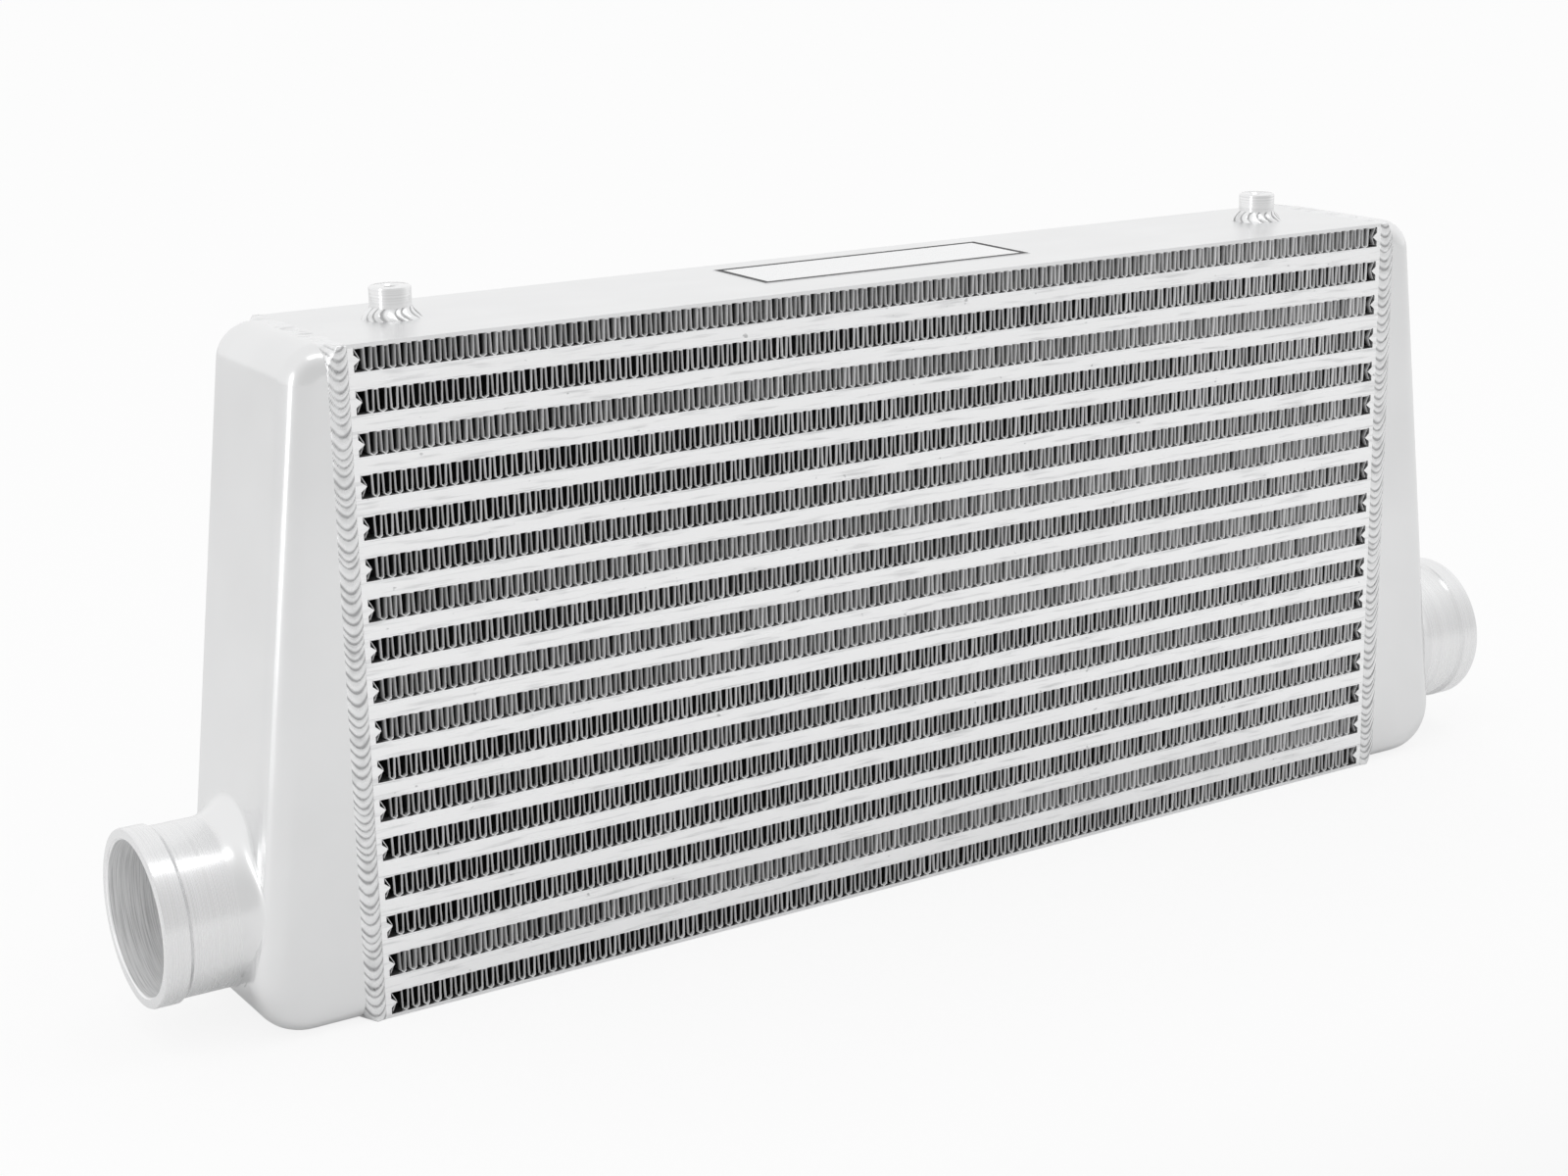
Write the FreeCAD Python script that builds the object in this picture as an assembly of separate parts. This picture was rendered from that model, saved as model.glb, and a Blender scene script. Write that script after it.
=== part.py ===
import FreeCAD, Part
import math
import os

# Air to air intercooler of bar and plate construction: a brazed core with a cast
# air box welded to each end. Units are millimetres. The part stands on its bottom
# plate at z = 0, with x along the core, y through its thickness (front at -y) and
# the origin under the middle of the core.

# Core block
CORE_LENGTH = 590.0
CORE_HEIGHT = 300.0
CORE_DEPTH = 90.0
FIN_ROWS = 17
CHARGE_TUBES = FIN_ROWS - 1
PLATE_THICKNESS = 1.65
SHEET_THICKNESS = 0.6
SIDE_BAR_HEIGHT = 6.4
SIDE_BAR_WIDTH = 5.0
TUBE_HEIGHT = SIDE_BAR_HEIGHT + 2 * SHEET_THICKNESS
FIN_HEIGHT = (CORE_HEIGHT - 2 * PLATE_THICKNESS - CHARGE_TUBES * TUBE_HEIGHT) / FIN_ROWS

# Bars that close the ends of the fin rows
END_BAR_WIDTH = 7.2
END_BAR_NOSE = 2.8
END_BAR_NOSE_HEIGHT = 4.4

# Folded strips. The folds are drawn much wider apart than in the real strip, and the
# metal thicker, so that a row keeps about the weight of a closely folded one.
FIN_FOLDS = 16
FIN_METAL = 1.24
FIN_SETBACK = 0.8
FIN_END_GAP = 0.4
TURBULATOR_FOLDS = 4
TURBULATOR_METAL = 0.98
TURBULATOR_SIDE_GAP = 0.5
TURBULATOR_SETBACK = 3.0

# Cast air boxes: the end wall leans from the top reach to the bottom reach, and the
# sweep under it starts where the flat floor ends. The rims are rounded in steps
# outside and cut off at a slant inside.
TANK_WALL = 4.0
TANK_REACH_TOP = 20.2
TANK_REACH_BOTTOM = 55.3
TANK_FLOOR_FLAT = 26.2
TANK_TOP_RADIUS = 16.7
TANK_EDGE_RADIUS = 12.5
EDGE_STEPS = 3
INNER_EDGE_STEPS = 1

# Hose neck cast in one with the air box
NECK_DIAMETER = 76.0
NECK_WALL = 3.5
NECK_HEIGHT = 54.2
NECK_REACH = 89.0
BEAD_DIAMETER = 79.0
BEAD_WIDTH = 10.5
FLARE_TOP = 12.0
FLARE_SIDE = 2.5
FLARE_SINK = 0.3
FLARE_STEPS = 4

# Weld between air box and core
WELD_WIDTH = 9.4
WELD_PROUD = 1.5
WELD_ROOT = 2.0
WELD_CORNER_RADIUS = 1.0

# Threaded mounting bosses on the top plate
BOSS_DIAMETER = 18.5
BOSS_HEIGHT = 14.0
BOSS_SPAN = 496.0
BOSS_OFFSET = 5.0
BOSS_THREAD_BORE = 6.8
BOSS_THREAD_DEPTH = 12.0
BOSS_EDGE_CHAMFER = 1.0
BOSS_WELD_REACH = 5.6
BOSS_WELD_HEIGHT = 6.0

HALF_LENGTH = CORE_LENGTH / 2
HALF_DEPTH = CORE_DEPTH / 2
TANK_LEAN = (TANK_REACH_BOTTOM - TANK_REACH_TOP) / CORE_HEIGHT
TANK_SLANT = math.hypot(1.0, TANK_LEAN)
TANK_BOTTOM_RADIUS = (TANK_REACH_BOTTOM - TANK_FLOOR_FLAT) / (TANK_LEAN + TANK_SLANT)
NECK_END = HALF_LENGTH + NECK_REACH
NECK_ROOT = HALF_LENGTH + TANK_REACH_TOP
NECK_RADIUS = NECK_DIAMETER / 2
BORE_RADIUS = NECK_RADIUS - NECK_WALL
BEAD_RADIUS = BEAD_DIAMETER / 2

TOLERANCE = 1e-6
V = FreeCAD.Vector


def box(x0, x1, y0, y1, z0, z1):
    return Part.makeBox(x1 - x0, y1 - y0, z1 - z0, V(x0, y0, z0))


def face_of(points):
    return Part.Face(Part.makePolygon(points + [points[0]]))


def mirror_x(shape):
    return shape.mirror(V(0, 0, 0), V(1, 0, 0))


def save(shape, name):
    shape.exportStep(os.path.join("parts", name + ".step"))


def row_floor(index):
    # Height of the underside of fin row number index, counted from the top
    step = FIN_HEIGHT + TUBE_HEIGHT
    return CORE_HEIGHT - PLATE_THICKNESS - FIN_HEIGHT - index * step


def zigzag(start, stop, low, high, folds, metal):
    # Outline of a folded strip in a flat plane: one run along the upper side of the
    # metal and back along the lower side, its crests touching low and high.
    step = (stop - start) / folds
    rise = high - low
    slope = math.hypot(step, rise)
    lift = metal * slope / step
    upper = []
    lower = []
    for i in range(folds + 1):
        across = start + i * step
        if i % 2:
            upper.append((across, high))
            lower.append((across, high - lift))
        else:
            upper.append((across, low + lift))
            lower.append((across, low))
    return upper + lower[::-1]


def make_plate(z0):
    return box(-HALF_LENGTH, HALF_LENGTH, -HALF_DEPTH, HALF_DEPTH, z0, z0 + PLATE_THICKNESS)


def make_tube(z0):
    # Two parting sheets with a solid bar brazed between them along each long side
    inner_floor = z0 + SHEET_THICKNESS
    outer = box(-HALF_LENGTH, HALF_LENGTH, -HALF_DEPTH, HALF_DEPTH, z0, z0 + TUBE_HEIGHT)
    clear = HALF_DEPTH - SIDE_BAR_WIDTH
    passage = box(-HALF_LENGTH, HALF_LENGTH, -clear, clear, inner_floor, inner_floor + SIDE_BAR_HEIGHT)
    return outer.cut(passage)


def make_turbulator(z0):
    # Inner fin of a charge tube: its folds run along the tube
    reach = HALF_DEPTH - SIDE_BAR_WIDTH - TURBULATOR_SIDE_GAP
    low = z0 + SHEET_THICKNESS
    outline = zigzag(-reach, reach, low, low + SIDE_BAR_HEIGHT, TURBULATOR_FOLDS, TURBULATOR_METAL)
    end = HALF_LENGTH - TURBULATOR_SETBACK
    face = face_of([V(-end, y, z) for y, z in outline])
    return face.extrude(V(2 * end, 0, 0))


def make_cooling_fin(z0):
    # Folded strip between two tubes: its folds run from front to back
    reach = HALF_LENGTH - END_BAR_WIDTH - END_BAR_NOSE - FIN_END_GAP
    outline = zigzag(-reach, reach, z0, z0 + FIN_HEIGHT, FIN_FOLDS, FIN_METAL)
    front = HALF_DEPTH - FIN_SETBACK
    face = face_of([V(x, -front, z) for x, z in outline])
    return face.extrude(V(0, 2 * front, 0))


def make_end_bar(z0):
    # Bar closing the right end of a fin row, with a pointed nose towards the fins
    middle = z0 + FIN_HEIGHT / 2
    inner = HALF_LENGTH - END_BAR_WIDTH
    nose = END_BAR_NOSE_HEIGHT / 2
    points = [
        V(HALF_LENGTH, -HALF_DEPTH, z0),
        V(HALF_LENGTH, -HALF_DEPTH, z0 + FIN_HEIGHT),
        V(inner, -HALF_DEPTH, z0 + FIN_HEIGHT),
        V(inner, -HALF_DEPTH, middle + nose),
        V(inner - END_BAR_NOSE, -HALF_DEPTH, middle),
        V(inner, -HALF_DEPTH, middle - nose),
        V(inner, -HALF_DEPTH, z0),
    ]
    return face_of(points).extrude(V(0, CORE_DEPTH, 0))


def make_end_bars():
    return Part.makeCompound([make_end_bar(row_floor(i)) for i in range(FIN_ROWS)])


def outer_corner(slice_solid, start, thickness, pick):
    # Cross edge at the outer end of a thin slice: the lowest or the highest one
    edges = []
    for edge in slice_solid.Edges:
        if abs(edge.Length - thickness) < TOLERANCE and edge.CenterOfMass.x > start + TOLERANCE:
            edges.append(edge)
    return pick(edges, key=lambda edge: edge.CenterOfMass.z)


def tank_profile(inset, start):
    # Side outline of the air box seen from the front, moved inwards by inset. The
    # outer end leans outwards towards the neck and sweeps in under it. Its two corners
    # are rounded on a thin slice, whose side face is the outline.
    shift = inset * TANK_SLANT
    top = CORE_HEIGHT - inset
    bottom = inset
    x_top = HALF_LENGTH + TANK_REACH_TOP + TANK_LEAN * inset - shift
    x_bottom = HALF_LENGTH + TANK_REACH_BOTTOM - TANK_LEAN * inset - shift
    points = [V(start, 0, bottom), V(x_bottom, 0, bottom), V(x_top, 0, top), V(start, 0, top)]
    thickness = 1.0
    solid = face_of(points).extrude(V(0, thickness, 0))
    corner = outer_corner(solid, start, thickness, min)
    solid = solid.makeFillet(TANK_BOTTOM_RADIUS - inset, [corner])
    corner = outer_corner(solid, start, thickness, max)
    solid = solid.makeFillet(TANK_TOP_RADIUS - inset, [corner])
    for face in solid.Faces:
        if abs(face.CenterOfMass.y) < TOLERANCE:
            return face
    raise RuntimeError("side outline not found")


def edge_round(radius, count):
    # Steps of a quarter round, as distances from the flat side and from the rim
    steps = []
    for i in range(count + 1):
        turn = math.pi / 2 * i / count
        steps.append((radius * (1 - math.cos(turn)), radius * (1 - math.sin(turn))))
    return steps


def rounded_block(wall, start, count):
    # The side outline carried from front to rear, its rims rounded in narrow bands,
    # with everything moved in by the given wall
    half_width = HALF_DEPTH - wall
    front = []
    for from_side, from_rim in edge_round(TANK_EDGE_RADIUS - wall, count):
        wire = tank_profile(wall + from_rim, start).OuterWire
        wire.translate(V(0, from_side - half_width, 0))
        front.append(wire)
    rear = [wire.mirror(V(0, 0, 0), V(0, 1, 0)) for wire in reversed(front)]
    return Part.makeLoft(front + rear, True, True)


def flare_width(distance, radius):
    # Extra radius of a hollow rounding at a given distance from the wall it leaves
    if distance <= 0:
        return radius
    if distance >= radius:
        return 0.0
    return radius - math.sqrt(radius * radius - (radius - distance) ** 2)


def wall_distance(height):
    # How far out the end wall of the air box stands at a given height
    drop = TANK_BOTTOM_RADIUS - height
    if drop <= TANK_BOTTOM_RADIUS * TANK_LEAN / TANK_SLANT:
        return HALF_LENGTH + TANK_REACH_BOTTOM - TANK_LEAN * height
    return HALF_LENGTH + TANK_FLOOR_FLAT + math.sqrt(TANK_BOTTOM_RADIUS ** 2 - drop ** 2)


def flare_section(x):
    # Egg shaped outline round the neck, widest above it. It runs in a little under the
    # neck's surface, so that the two meet in one edge.
    top = flare_width(x - wall_distance(NECK_HEIGHT + NECK_RADIUS), FLARE_TOP)
    side = top * FLARE_SIDE / FLARE_TOP
    count = 32
    points = []
    for i in range(count):
        angle = 2 * math.pi * i / count
        up = math.sin(angle)
        radius = NECK_RADIUS - FLARE_SINK + side + (top - side) * max(0, up) ** 2
        points.append(V(x, radius * math.cos(angle), NECK_HEIGHT + radius * up))
    curve = Part.BSplineCurve()
    curve.interpolate(points, PeriodicFlag=True)
    return Part.Wire(curve.toShape())


def make_flare():
    wall = wall_distance(NECK_HEIGHT + NECK_RADIUS)
    distances = [-TANK_WALL]
    for i in range(FLARE_STEPS + 1):
        distances.append(FLARE_TOP * (1 - math.cos(math.pi / 2 * i / FLARE_STEPS)))
    return Part.makeLoft([flare_section(wall + d) for d in distances], True, True)


def neck_outside():
    # Turned outside of the neck: plain barrel and raised hose bead
    step = NECK_END - BEAD_WIDTH
    rise = BEAD_RADIUS - NECK_RADIUS
    points = [
        (NECK_ROOT, 0),
        (NECK_ROOT, NECK_RADIUS),
        (step - rise, NECK_RADIUS),
        (step, BEAD_RADIUS),
        (NECK_END, BEAD_RADIUS),
        (NECK_END, 0),
    ]
    face = face_of([V(x, 0, NECK_HEIGHT + r) for x, r in points])
    return face.revolve(V(0, 0, NECK_HEIGHT), V(1, 0, 0), 360)


def neck_bore():
    inner = NECK_ROOT - TANK_WALL
    points = [
        (inner, 0),
        (inner, BORE_RADIUS),
        (NECK_END, BORE_RADIUS),
        (NECK_END, 0),
    ]
    face = face_of([V(x, 0, NECK_HEIGHT + r) for x, r in points])
    return face.revolve(V(0, 0, NECK_HEIGHT), V(1, 0, 0), 360)


def rim(x, inset, radius, half_width=HALF_DEPTH):
    # Rectangle round the joint with stepped round corners
    points = []
    for y_sign, z_sign in ((-1, 1), (1, 1), (1, -1), (-1, -1)):
        steps = edge_round(radius, EDGE_STEPS)
        if y_sign == z_sign:
            steps.reverse()
        for from_side, from_rim in steps:
            y = y_sign * (half_width - inset - from_side)
            z = CORE_HEIGHT / 2 + z_sign * (CORE_HEIGHT / 2 - inset - from_rim)
            points.append(V(x, y, z))
    return points


def flat_sided(sections):
    # Solid through outlines whose matching edges are parallel, so each side is flat
    faces = [face_of(sections[0]), face_of(sections[-1])]
    for near, far in zip(sections, sections[1:]):
        for i in range(len(near)):
            faces.append(face_of([near[i - 1], near[i], far[i], far[i - 1]]))
    return Part.Solid(Part.Shell(faces))


def weld_groove():
    # Weld metal between the square end of the core and the bevelled, rounded rim of
    # the air box
    end = HALF_LENGTH + WELD_WIDTH / 2
    tank_end = rim(end, 0, TANK_EDGE_RADIUS)
    outside = flat_sided([rim(HALF_LENGTH, 0, WELD_CORNER_RADIUS), tank_end])
    bevel = [rim(HALF_LENGTH, WELD_ROOT, TANK_EDGE_RADIUS - WELD_ROOT), tank_end]
    return outside.cut(flat_sided(bevel))


def make_tank(groove):
    # The cavity is open towards the core, so it is carried a little past the joint
    overcut = 1.0
    cavity = rounded_block(TANK_WALL, HALF_LENGTH - overcut, INNER_EDGE_STEPS)
    block = rounded_block(0, HALF_LENGTH, EDGE_STEPS)
    shell = block.fuse([make_flare(), neck_outside()])
    shell = shell.cut(cavity.fuse(neck_bore()))
    return shell.cut(groove).removeSplitter()


def weld_bead(side):
    # Raised bead down the front or rear of the joint, a flat arc in section
    half = WELD_WIDTH / 2
    y = side * HALF_DEPTH
    top = V(HALF_LENGTH, y + side * WELD_PROUD, 0)
    arc = Part.Arc(V(HALF_LENGTH - half, y, 0), top, V(HALF_LENGTH + half, y, 0)).toShape()
    chord = Part.makeLine(V(HALF_LENGTH + half, y, 0), V(HALF_LENGTH - half, y, 0))
    return Part.Face(Part.Wire([arc, chord])).extrude(V(0, 0, CORE_HEIGHT))


def make_weld(groove):
    # The beads die away round the corners of the air box
    half = WELD_WIDTH / 2
    proud = HALF_DEPTH + WELD_PROUD
    sections = [
        rim(HALF_LENGTH - half, 0, WELD_CORNER_RADIUS, proud),
        rim(HALF_LENGTH, 0, WELD_CORNER_RADIUS, proud),
        rim(HALF_LENGTH + half, 0, TANK_EDGE_RADIUS, proud),
    ]
    room = flat_sided(sections)
    beads = [weld_bead(side).common(room) for side in (-1, 1)]
    return groove.fuse(beads).removeSplitter()


def boss_places(solid):
    # The same solid at both mounting points on the top plate
    placed = []
    for side in (-1, 1):
        copy = solid.copy()
        copy.translate(V(side * BOSS_SPAN / 2, BOSS_OFFSET, CORE_HEIGHT))
        placed.append(copy)
    return Part.makeCompound(placed)


def make_boss():
    # Turned boss with a blind tapped hole
    radius = BOSS_DIAMETER / 2
    bore = BOSS_THREAD_BORE / 2
    floor = BOSS_HEIGHT - BOSS_THREAD_DEPTH
    return turned_upright([
        (0, 0),
        (radius, 0),
        (radius, BOSS_HEIGHT - BOSS_EDGE_CHAMFER),
        (radius - BOSS_EDGE_CHAMFER, BOSS_HEIGHT),
        (bore, BOSS_HEIGHT),
        (bore, floor),
        (0, floor),
    ])


def make_boss_weld():
    # Fillet weld round the foot of a boss
    radius = BOSS_DIAMETER / 2
    return turned_upright([
        (radius, 0),
        (radius + BOSS_WELD_REACH, 0),
        (radius, BOSS_WELD_HEIGHT),
    ])


def turned_upright(outline):
    face = face_of([V(r, 0, z) for r, z in outline])
    return face.revolve(V(0, 0, 0), V(0, 0, 1), 360)


def main():
    os.makedirs("parts", exist_ok=True)
    save(make_plate(CORE_HEIGHT - PLATE_THICKNESS), "top_plate")
    save(make_plate(0), "bottom_plate")
    for i in range(FIN_ROWS):
        save(make_cooling_fin(row_floor(i)), "cooling_fin_%02d" % (i + 1))
    for i in range(CHARGE_TUBES):
        floor = row_floor(i) - TUBE_HEIGHT
        save(make_tube(floor), "tube_%02d" % (i + 1))
        save(make_turbulator(floor), "turbulator_%02d" % (i + 1))
    groove = weld_groove()
    for name, turn in (("right", lambda shape: shape), ("left", mirror_x)):
        save(turn(make_end_bars()), "end_bars_" + name)
        save(turn(make_tank(groove)), "tank_" + name)
        save(turn(make_weld(groove)), "weld_" + name)
    save(boss_places(make_boss()), "mount_bosses")
    save(boss_places(make_boss_weld()), "boss_welds")


main()
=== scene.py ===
# %% [markdown]
# An air to air intercooler, seen from its front left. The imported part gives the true
# shape and size of the core, the cast air boxes and the bosses. This script adds what
# is too fine for it: the folded fins at their real spacing, the ripples of the welds,
# the smooth rounding of the castings, the finish of the metal, and the studio.

import math
import random

import bmesh
import bpy
from mathutils import Matrix, Vector


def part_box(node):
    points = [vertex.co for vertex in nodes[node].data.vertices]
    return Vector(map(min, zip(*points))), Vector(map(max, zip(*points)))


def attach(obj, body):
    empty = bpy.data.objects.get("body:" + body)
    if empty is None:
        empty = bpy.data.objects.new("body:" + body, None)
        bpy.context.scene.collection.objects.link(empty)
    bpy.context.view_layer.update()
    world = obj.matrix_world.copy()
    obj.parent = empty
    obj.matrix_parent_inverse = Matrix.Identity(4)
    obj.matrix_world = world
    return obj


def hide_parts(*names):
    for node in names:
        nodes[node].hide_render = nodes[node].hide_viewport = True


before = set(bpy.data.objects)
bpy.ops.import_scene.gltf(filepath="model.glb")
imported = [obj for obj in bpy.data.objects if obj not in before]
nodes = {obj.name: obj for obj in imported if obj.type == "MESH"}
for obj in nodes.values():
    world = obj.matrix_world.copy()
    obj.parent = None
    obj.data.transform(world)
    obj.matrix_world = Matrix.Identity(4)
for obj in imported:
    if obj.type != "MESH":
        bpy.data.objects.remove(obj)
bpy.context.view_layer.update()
print("pieces in the part:", len(nodes))

# %% [markdown]
# The camera stands at the left, a little above the top, about a metre and a half
# away. It is placed first, so that every later step can be judged against it. Its
# angles and lens were worked out from the corners of the core in the picture. The
# shifts move the frame sideways and down without turning the camera.

# %% Camera
YAW = math.radians(33.96)
PITCH = math.radians(15.21)
ROLL = math.radians(-0.46)
CAMERA_PLACE = (-0.7331, -1.0942, 0.5070)
IMAGE_WIDTH = 1600
LENS_PIXELS = 2816.6
SHIFT_PIXELS_X = -100
SHIFT_PIXELS_Y = -20

level_share = math.cos(PITCH)
forward = Vector((math.sin(YAW) * level_share, math.cos(YAW) * level_share, -math.sin(PITCH)))
level = Vector((math.cos(YAW), -math.sin(YAW), 0))
upward = level.cross(forward)
right = level * math.cos(ROLL) + upward * math.sin(ROLL)
above = upward * math.cos(ROLL) - level * math.sin(ROLL)

camera_data = bpy.data.cameras.new("camera")
camera_data.sensor_width = 36
camera_data.lens = LENS_PIXELS / IMAGE_WIDTH * camera_data.sensor_width
camera_data.shift_x = SHIFT_PIXELS_X / IMAGE_WIDTH
camera_data.shift_y = SHIFT_PIXELS_Y / IMAGE_WIDTH
camera_data.clip_start = 0.05
camera = bpy.data.objects.new("camera", camera_data)
turn = Matrix((right, above, -forward)).transposed()
camera.matrix_world = Matrix.Translation(CAMERA_PLACE) @ turn.to_4x4()
bpy.context.scene.collection.objects.link(camera)
bpy.context.scene.camera = camera
print("camera at", [round(value, 3) for value in camera.matrix_world.translation])

# %% [markdown]
# Every finish starts as a metal with a soft gloss. Small helpers then add noise that
# is stretched along the object's own axes, because a brushed or turned surface is
# rough across its marks and smooth along them. The sky has a node tree as well, so the
# same helpers serve for it later.

# %% Helpers for finishes
def new_finish(name, colour, roughness, metallic=1.0):
    finish = bpy.data.materials.new(name)
    finish.use_nodes = True
    shader = finish.node_tree.nodes["Principled BSDF"]
    shader.inputs["Base Color"].default_value = (*colour, 1)
    shader.inputs["Metallic"].default_value = metallic
    shader.inputs["Roughness"].default_value = roughness
    return finish, shader


def add_node(owner, kind, **values):
    # A value goes to the socket of that name, or else to the node's own setting
    node = owner.node_tree.nodes.new(kind)
    for key, value in values.items():
        if key in node.inputs:
            node.inputs[key].default_value = value
        else:
            setattr(node, key, value)
    return node


def join(owner, source, target):
    owner.node_tree.links.new(source, target)


def reckon(owner, operation, *terms):
    # A sum whose terms are sockets or plain numbers
    node = add_node(owner, "ShaderNodeMath", operation=operation)
    for socket, term in zip(node.inputs, terms):
        if isinstance(term, (int, float)):
            socket.default_value = term
        else:
            join(owner, term, socket)
    return node.outputs["Value"]


def place_along(owner, axis, kind="Object"):
    # Where a point lies along one of the axes
    place = add_node(owner, "ShaderNodeTexCoord")
    axes = add_node(owner, "ShaderNodeSeparateXYZ")
    join(owner, place.outputs[kind], axes.inputs["Vector"])
    return axes.outputs[axis]


def noise_along(finish, stretch, scale, detail=3.0):
    place = add_node(finish, "ShaderNodeTexCoord")
    mapping = add_node(finish, "ShaderNodeMapping", Scale=stretch)
    noise = add_node(finish, "ShaderNodeTexNoise", Scale=scale, Detail=detail)
    join(finish, place.outputs["Object"], mapping.inputs["Vector"])
    join(finish, mapping.outputs["Vector"], noise.inputs["Vector"])
    return noise.outputs["Fac"]


def spread(owner, source, low, high, start=0.3, stop=0.7, curve="LINEAR"):
    # Carries the range from start to stop over to the range from low to high
    remap = add_node(owner, "ShaderNodeMapRange", interpolation_type=curve)
    remap.inputs["From Min"].default_value = start
    remap.inputs["From Max"].default_value = stop
    remap.inputs["To Min"].default_value = low
    remap.inputs["To Max"].default_value = high
    join(owner, source, remap.inputs["Value"])
    return remap.outputs["Result"]


def vary_gloss(finish, shader, source, low, high):
    join(finish, spread(finish, source, low, high), shader.inputs["Roughness"])


def add_bump(finish, shader, source, strength, distance):
    bump = add_node(finish, "ShaderNodeBump", Strength=strength, Distance=distance)
    join(finish, source, bump.inputs["Height"])
    join(finish, bump.outputs["Normal"], shader.inputs["Normal"])


def tint(finish, shader, source, dark, light, start=0.3, stop=0.7):
    ramp = add_node(finish, "ShaderNodeValToRGB")
    ramp.color_ramp.elements[0].position = start
    ramp.color_ramp.elements[0].color = (*dark, 1)
    ramp.color_ramp.elements[1].position = stop
    ramp.color_ramp.elements[1].color = (*light, 1)
    join(finish, source, ramp.inputs["Fac"])
    join(finish, ramp.outputs["Color"], shader.inputs["Base Color"])


print("helpers for finishes are ready")

# %% [markdown]
# The long bars are rolled metal that was brushed lengthways after brazing, so their streaks run along the
# core and a few pits and stains stay. On a real bar two thin lines show where it meets its parting sheets.
# Modelled grooves that fine would need many faces, so the distance from the nearest joint darkens the metal
# instead, as painted shade for those grooves.

# %% Brushed bars
SHEET = 0.0006
LINE_HALF = 0.00016

brushed, shader = new_finish("brushed_bar", (0.83, 0.83, 0.835), 0.36)
streaks = noise_along(brushed, (7, 120, 300), 4.0)
vary_gloss(brushed, shader, streaks, 0.27, 0.45)
stains = noise_along(brushed, (14, 60, 190), 2.6, 6.0)
pits = noise_along(brushed, (0.6, 1, 1), 330.0, 2.0)
pitted = reckon(brushed, "SUBTRACT", stains, spread(brushed, pits, 0.0, 0.30, 0.70, 0.78))

tube_low, tube_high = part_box("tube_01")
next_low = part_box("tube_02")[0]
tube_middle = (tube_low.z + tube_high.z) / 2
half_step = abs(next_low.z - tube_low.z) / 2
joint_height = (tube_high.z - tube_low.z) / 2 - SHEET
from_tube = reckon(brushed, "SUBTRACT", place_along(brushed, "Z"), tube_middle)
from_middle = reckon(brushed, "PINGPONG", from_tube, half_step)
from_joint = reckon(brushed, "ABSOLUTE", reckon(brushed, "SUBTRACT", from_middle, joint_height))
# Painted shade along the joints with the parting sheets, in place of modelled grooves
joint_groove_shade = spread(brushed, from_joint, 0.22, 0.0, 0.0, LINE_HALF)
pits_stains_and_groove_shade = reckon(brushed, "SUBTRACT", pitted, joint_groove_shade)
tint(brushed, shader, pits_stains_and_groove_shade, (0.56, 0.563, 0.567), (0.96, 0.962, 0.965), 0.14, 0.47)
add_bump(brushed, shader, streaks, 0.30, 0.0004)
print("tubes are %.1f mm apart" % (2000 * half_step))

# %% [markdown]
# The top plate is smoother than the bars, with a faint haze. The castings are blasted
# and rubbed down, which leaves soft clouds and an even grain.

# %% Plates and castings
plate, shader = new_finish("rolled_plate", (0.82, 0.82, 0.825), 0.34)
haze = noise_along(plate, (5, 9, 40), 4.0)
vary_gloss(plate, shader, haze, 0.30, 0.40)
drawn = noise_along(plate, (6, 320, 320), 5.0)
tint(plate, shader, haze, (0.79, 0.792, 0.795), (0.84, 0.842, 0.845))
add_bump(plate, shader, drawn, 0.10, 0.0002)

cast, shader = new_finish("cast_satin", (0.80, 0.802, 0.805), 0.22)
clouds = noise_along(cast, (1, 1, 1), 16.0, 4.0)
grain = noise_along(cast, (1, 1, 1), 700.0, 4.0)
vary_gloss(cast, shader, clouds, 0.18, 0.25)
tint(cast, shader, clouds, (0.775, 0.777, 0.78), (0.825, 0.827, 0.83))
add_bump(cast, shader, grain, 0.06, 0.0002)
print("materials in the scene:", len(bpy.data.materials))

# %% [markdown]
# The fin metal is painted bright at the cut edges and darker behind them, down to near black, as painted
# shade for the gaps between the walls. The distance from the middle of the core sets how deep a point lies,
# and a share of plain paint in the metal keeps the narrow gaps from turning black.

# %% Fin metal
SHADE_ENDS_AT = 0.0434
SHADE_FULL_AT = 0.0414

folded, shader = new_finish("fin_metal", (0.80, 0.803, 0.807), 0.42, 0.45)
rolled = noise_along(folded, (90, 40, 6), 6.0)
vary_gloss(folded, shader, rolled, 0.36, 0.50)
# Painted shade: the metal darkens with depth into the core, where the gaps between fin walls lie in shade
from_core_middle = reckon(folded, "ABSOLUTE", place_along(folded, "Y"))
unshaded_share = spread(folded, from_core_middle, 0.0, 1.0, SHADE_FULL_AT, SHADE_ENDS_AT)
unshaded_share_and_tone = reckon(folded, "MULTIPLY", unshaded_share, spread(folded, rolled, 0.78, 1.0))
tint(folded, shader, unshaded_share_and_tone, (0.05, 0.051, 0.053), (0.96, 0.962, 0.965), 0.0, 1.0)
print("fins brighten from %.1f to %.1f mm off the middle" % (1000 * SHADE_FULL_AT, 1000 * SHADE_ENDS_AT))

# %% [markdown]
# Weld metal keeps its bright colour on the crest of each pool and is painted dark where two pools meet, as
# painted shade for the groove between them. Each weld's mesh says how deep in such a groove a point lies,
# in an attribute that is laid down with the mesh further on. Where the weld is ground flush, the same
# attribute carries a random stain.

# %% Weld metal
welded, shader = new_finish("weld_metal", (0.74, 0.742, 0.745), 0.26)
scale_marks = noise_along(welded, (1, 1, 1), 420.0)
frost = noise_along(welded, (1, 1, 1), 110.0, 5.0)
vary_gloss(welded, shader, frost, 0.18, 0.34)
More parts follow.
